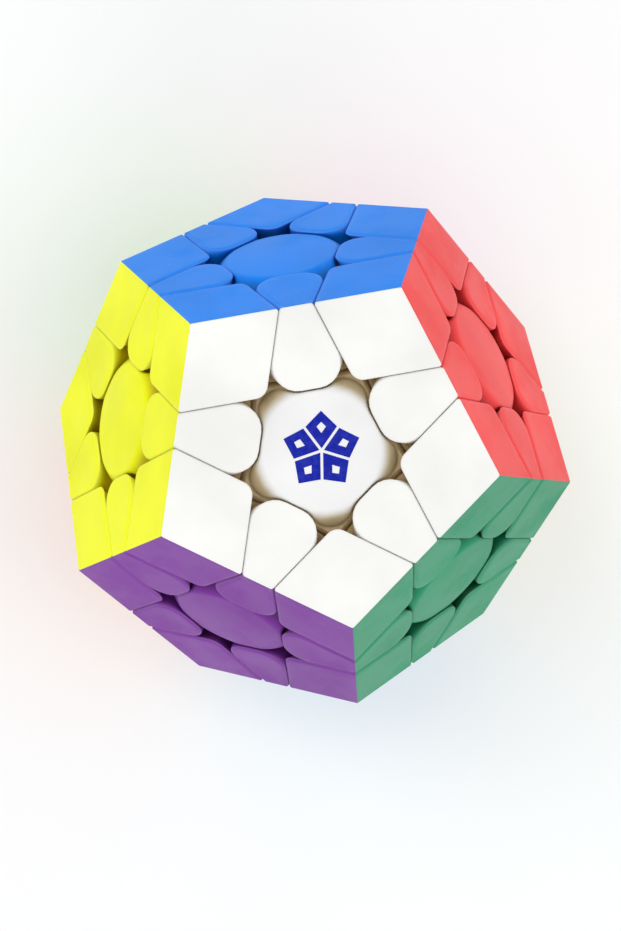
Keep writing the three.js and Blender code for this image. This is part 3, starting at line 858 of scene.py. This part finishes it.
def screwShell():
    # thread: radius = shank - depth * triangle wave of (height / pitch - turns)
    # recess: a cross whose radius at an azimuth is the larger of both arms' reaches, tapering down
    azimuth = aroundTurn(screw["around"])
    c, s = np.maximum(np.abs(np.cos(azimuth)), 1e-6), np.maximum(np.abs(np.sin(azimuth)), 1e-6)

    def cross(width, length):
        along = np.minimum(length / 2 / c, width / 2 / s)
        across = np.minimum(width / 2 / c, length / 2 / s)
        return np.maximum(along, across)

    low, threadTop, soft = armTop - screw["reach"], armTop - screw["plain"], screw["soft"]
    profile = [(screw["tip"], low), (screw["radius"] * 0.75, low + 3 * soft)]
    for height in np.linspace(low + 5 * soft, threadTop, screw["threadRings"]):
        wave = (height / screw["pitch"] - azimuth / (2 * math.pi)) % 1
        profile.append((screw["radius"] - screw["threadDepth"] * np.abs(2 * wave - 1), height))
    shank, head = screw["radius"] * screw["shank"], screw["headRadius"]
    profile += [(shank, threadTop + 3 * soft), (shank, headBottom - soft)]
    profile += [(shank + soft, headBottom), (head - 2 * soft, headBottom)]
    bend = screw["headRound"]
    profile += [(head, headBottom + 2 * soft), (head, headTop - bend)]
    for t in np.linspace(0.2, 1, 5) * math.pi / 2:
        profile.append((head - bend * (1 - math.cos(t)), headTop - bend * (1 - math.sin(t))))
    wide, long, bottom = screw["slotWidth"], screw["slotLength"], headTop - screw["slotDepth"]
    profile += [(cross(wide + soft, long + soft), headTop)]
    profile += [(cross(wide, long), headTop - 0.8 * soft)]
    profile += [(cross(wide * 0.7, long * 0.62), bottom), (2 * soft, bottom - soft)]
    return closedLoft(np.array([circled(radius, azimuth, height) for radius, height in profile]))


washer = {
    "radius": 0.0037,
    "bore": 0.0017,
    "thickness": 0.00035,
    "soft": 0.00008,
    "grease": 0.00002,       # film between the washers and what they lie against
}


def washerShell(low):
    outer, bore, soft = washer["radius"], washer["bore"], washer["soft"]
    high = low + washer["thickness"]
    return turned([
        (outer - soft, low), (outer, low + soft), (outer, high - soft), (outer - soft, high),
        (bore + soft, high), (bore, high - soft), (bore, low + soft), (bore + soft, low),
    ], 48, drilled=True)


spring = {
    "radius": 0.0027,
    "wire": 0.00034,         # half of the wire's thickness
    "turns": 4.5,
    "flatShare": 0.12,       # of its length at each end, which lies flat
    "perTurn": 32,
    "section": 12,
}


def springShell(low, high):
    # a round wire carried along a helix whose ends lie flat: height = low + rise * smoothstep
    wire, flat = spring["wire"], spring["flatShare"]
    share = np.linspace(0, 1, int(spring["turns"] * spring["perTurn"]) + 1)
    angle = share * spring["turns"] * 2 * math.pi
    ease = np.clip((share - flat) / (1 - 2 * flat), 0, 1)
    ease = ease * ease * (3 - 2 * ease)
    path = circled(spring["radius"], angle, low + wire + (high - low - 2 * wire) * ease)
    along = np.gradient(path, axis=0)
    along /= np.linalg.norm(along, axis=1, keepdims=True)
    outward = circled(1.0, angle, 0.0)
    side = np.cross(along, outward)
    section = aroundTurn(spring["section"])[:, None]
    offset = outward[:, None] * np.cos(section) + side[:, None] * np.sin(section)
    return closedLoft((path[:, None] + wire * offset)[:, ::-1])


core = {
    "ball": 0.012,
    "collar": 0.0012,        # how far its bosses stand out of the ball
    "flange": 0.0062,        # radius of a boss
    "skirt": 0.0014,         # how much wider a boss is where it meets the ball
    "arm": 0.0044,
    "fillet": 0.0004,        # between a boss and its arm
    "soft": 0.0003,
    "drill": 0.00015,        # how much wider than the screw its arms are bored
}


def coreShell():
    # a ball of many rings with a boss and an arm towards every face
    latitude = np.linspace(-0.5, 0.5, 50)[1:-1] * math.pi
    whole = turned([(core["ball"] * math.cos(t), core["ball"] * math.sin(t)) for t in latitude], 96)
    arm, flange, soft, fillet = core["arm"], core["flange"], core["soft"], core["fillet"]
    low, collar = core["ball"] * 0.7, core["ball"] + core["collar"]
    skirt, bore = flange + core["skirt"], screw["radius"] + core["drill"]
    post = turned([
        (skirt, low), (skirt, core["ball"] - 0.0018), (flange, collar - soft),
        (flange - soft, collar), (arm + fillet, collar), (arm, collar + fillet),
        (arm, armTop - soft), (arm - soft, armTop), (bore + 0.0002, armTop),
        (bore, armTop - soft), (bore, low),
    ], 48, drilled=True)
    for name in faceNames:
        turn = facing(faces[name], faces[neighbours(name)[0]])
        whole += Shell(post.points @ turn.T, post.quads, post.triangles)
    return whole


capPiece, hubPiece, screwPiece = capShell() + capPlug(), hubShell(), screwShell()
grease, thick = washer["grease"], washer["thickness"]
washerPiece = washerShell(floorTop + grease) + washerShell(headBottom - thick - grease)
springPiece = springShell(floorTop + thick + 2 * grease, headBottom - thick - 2 * grease)
for name in faceNames:
    turn = facing(faces[name], faces[neighbours(name)[0]])
    capFinish = whiteCap if name == "white" else tileFinish[name]
    plasticSlot, capNodes = f"plastic_{name}", [f"cap_{name}"]
    hubNodes, screwNodes = [fittingOf("hub", name)], [fittingOf("tension_screw", name)]
    springNodes = [fittingOf("tension_spring", name)]
    addPiece(
        f"cap_{name}_shell", capPiece, capFinish, turn, f"cap_{name}_body", capNodes)
    addPiece(
        f"hub_{name}_base", hubPiece, inner, turn, layerOf(name), hubNodes)
    addPiece(f"screw_{name}", screwPiece, screwSteel, turn, "frame", screwNodes)
    addPiece(f"washers_{name}", washerPiece, screwSteel, turn, "frame", screwNodes)
    addPiece(f"spring_{name}", springPiece, springSteel, turn, "frame", springNodes)
addPiece("core", coreShell(), inner, np.eye(3), "frame", ["core_with_fixed_hubs"])
print("caps, hubs, screws, springs and core placed")


emblem = {
    "inner": 0.00035,        # from the middle to a petal's inner point
    "outer": 0.0058,         # to its outer point
    "waist": 0.0035,         # distance of its widest place
    "halfWidth": 0.0023,
    "window": 0.30,          # size of the opening in a petal, as a share
    "film": 0.00002,
    "turn": 9.0,             # of the whole emblem on its cap, in degrees
    "perSide": 8,
    "rings": 5,
}


def petal(azimuth):
    # a kite-shaped ring on the dome: its outline from four corners, then inwards to a smaller kite
    corners = np.array([
        (emblem["inner"], 0.0), (emblem["waist"], -emblem["halfWidth"]),
        (emblem["outer"], 0.0), (emblem["waist"], emblem["halfWidth"])])
    middle = np.array([emblem["waist"], 0.0])
    share = np.linspace(0, 1, emblem["perSide"] + 1)[:-1, None]
    outline = np.concatenate([
        a * (1 - share) + b * share for a, b in zip(corners, np.roll(corners, -1, 0))])
    c, s = math.cos(azimuth), math.sin(azimuth)
    spin = np.array([[c, s], [-s, c]])

    def ring(size, lift):
        flat = ((outline - middle) * size + middle) @ spin
        return np.concatenate([flat, (capDome(np.linalg.norm(flat, axis=1)) + lift)[:, None]], 1)

    film, window = emblem["film"], emblem["window"]
    top = [ring(size, film) for size in np.linspace(1.0, window, emblem["rings"])]
    return closedRing(np.array([ring(1.0, -film), *top, ring(window, -film)]))


petals = [petal(math.radians(emblem["turn"]) + azimuth) for azimuth in capTurns]
emblemShell = petals[0] + petals[1] + petals[2] + petals[3] + petals[4]
addPiece(
    "cap_white_emblem", emblemShell, ink, np.eye(3), "cap_white_body", ["cap_white"])
print("emblem printed")


table = {
    "side": 6.0,
    "colour": (0.92, 0.925, 0.92),
    "roughness": 0.30,
    "below": 0.0002,
    "cells": 8,
}


def tableTop():
    # a pale lacquered board, faintly cloudy
    finish = Finish("pale_table")
    cloud = finish.noise(0.12, 3.0)
    grey, pale = shade(table["colour"], 0.02, (0, 0, 0)), shade(table["colour"], 0.05)
    base = finish.mix(cloud.smooth(0.3, 0.7), grey, pale)
    roughness = (table["roughness"] + (cloud - 0.5) * 0.06).clamp()
    finish.set(Base_Color=base, Roughness=roughness, IOR=1.45)
    line = np.linspace(-0.5, 0.5, table["cells"] + 1) * table["side"]
    x, y = np.meshgrid(line, line)
    points = np.stack([x.ravel(), y.ravel(), np.full(x.size, -table["below"])], -1)
    cells, row = np.arange(table["cells"]), len(line)
    corner = (cells[:, None] * row + cells).ravel()
    quads = np.stack([corner, corner + 1, corner + row + 1, corner + row], -1)
    mesh = bpy.data.meshes.new("table")
    mesh.from_pydata(points.tolist(), [], quads.tolist())
    mesh.materials.append(finish.material)
    board = bpy.data.objects.new("table", mesh)
    bpy.context.scene.collection.objects.link(board)


def softbox(name, place, size, power, colour=(1, 1, 1)):
    data = bpy.data.lights.new(name, "AREA")
    data.shape = "RECTANGLE"
    data.size, data.size_y = size
    data.energy = power
    data.color = colour
    lamp = bpy.data.objects.new(name, data)
    lamp.location = place
    lamp.rotation_euler = (Vector(centre) - Vector(place)).to_track_quat("-Z", "Y").to_euler()
    bpy.context.scene.collection.objects.link(lamp)


tableTop()
softbox("key", (-0.35, 0.45, 0.75), (0.5, 0.5), 2.0, (1.0, 0.985, 0.96))
softbox("fill", (0.55, -0.15, 0.6), (0.6, 0.5), 1.0, (0.96, 0.98, 1.0))
softbox("back", (0.0, -0.6, 0.45), (0.7, 0.3), 0.8)
world = bpy.data.worlds.new("studio")
world.use_nodes = True
sky = world.node_tree.nodes["Background"].inputs
sky["Color"].default_value = (0.98, 0.99, 1.0, 1)
sky["Strength"].default_value = 0.80
bpy.context.scene.world = world
bpy.context.scene.view_settings.view_transform = "Standard"

view = {
    "place": (-0.0119, 0.0089, 0.2957),
    "turn": (-2.23, -2.94, -10.0),  # degrees about X, then Y, then Z, from straight down
    "lens": 60.6,
}
cameraData = bpy.data.cameras.new("camera")
cameraData.lens = view["lens"]
cameraData.sensor_width = 36
cameraData.clip_start = 0.01
camera = bpy.data.objects.new("camera", cameraData)
camera.location = view["place"]
camera.rotation_euler = [math.radians(v) for v in view["turn"]]
bpy.context.scene.collection.objects.link(camera)
bpy.context.scene.camera = camera
print("table, lights and camera ready")
